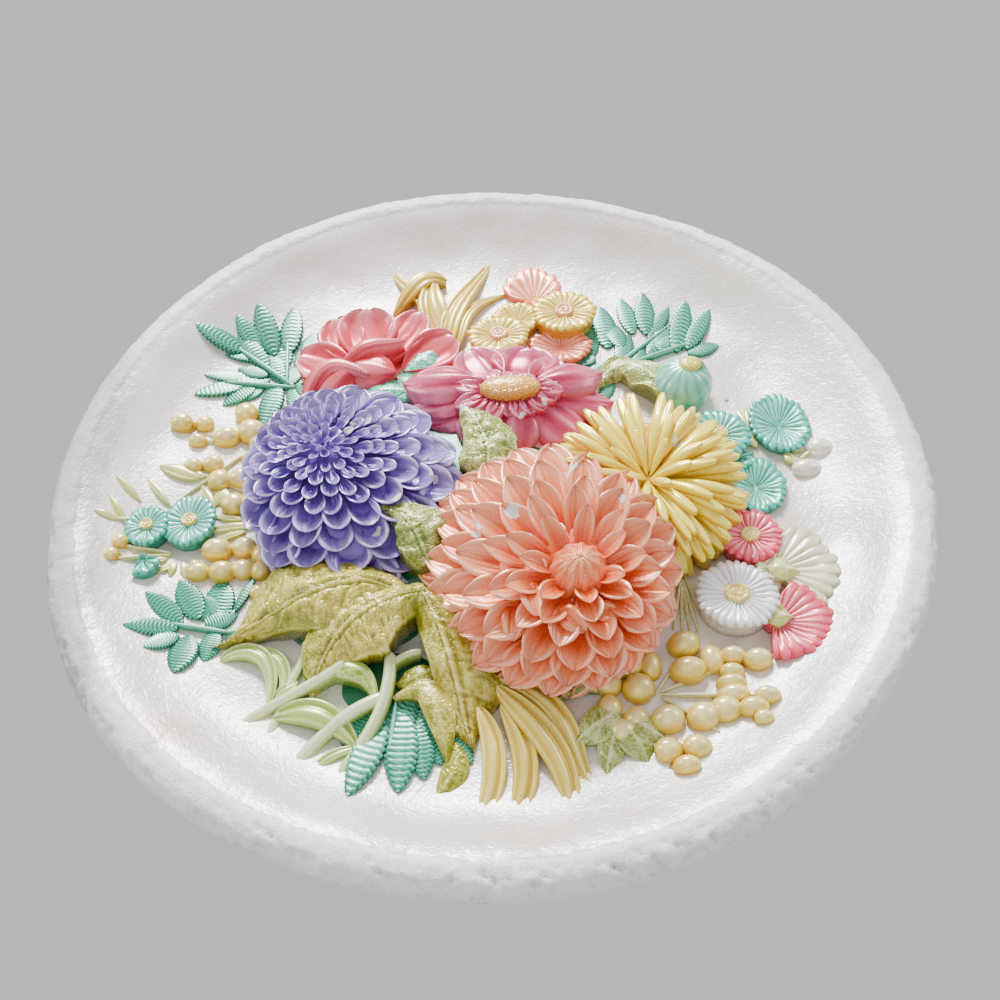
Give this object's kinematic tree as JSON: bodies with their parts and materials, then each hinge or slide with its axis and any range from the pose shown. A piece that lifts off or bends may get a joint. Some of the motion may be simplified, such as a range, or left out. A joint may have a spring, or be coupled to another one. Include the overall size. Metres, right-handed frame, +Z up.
{
  "type": "decorative wall plaque",
  "caption": "Round plaster wall plaque: a shallow dish with a rounded rim and a flower bouquet cast in high relief.",
  "frame": {"origin": "middle of the flat back, in the plane that meets the wall", "axes": "+Y out of the back into the wall, -Y out of the relief, +Z up as it hangs, +X to the right seen from the front"},
  "size_m": [0.3479, 0.0547, 0.3493],
  "materials": {
    "painted_plaster": "pearl paint over cast plaster"
  },
  "bodies": {
    "root": {"plaque": "painted_plaster"}
  },
  "joints": []
}
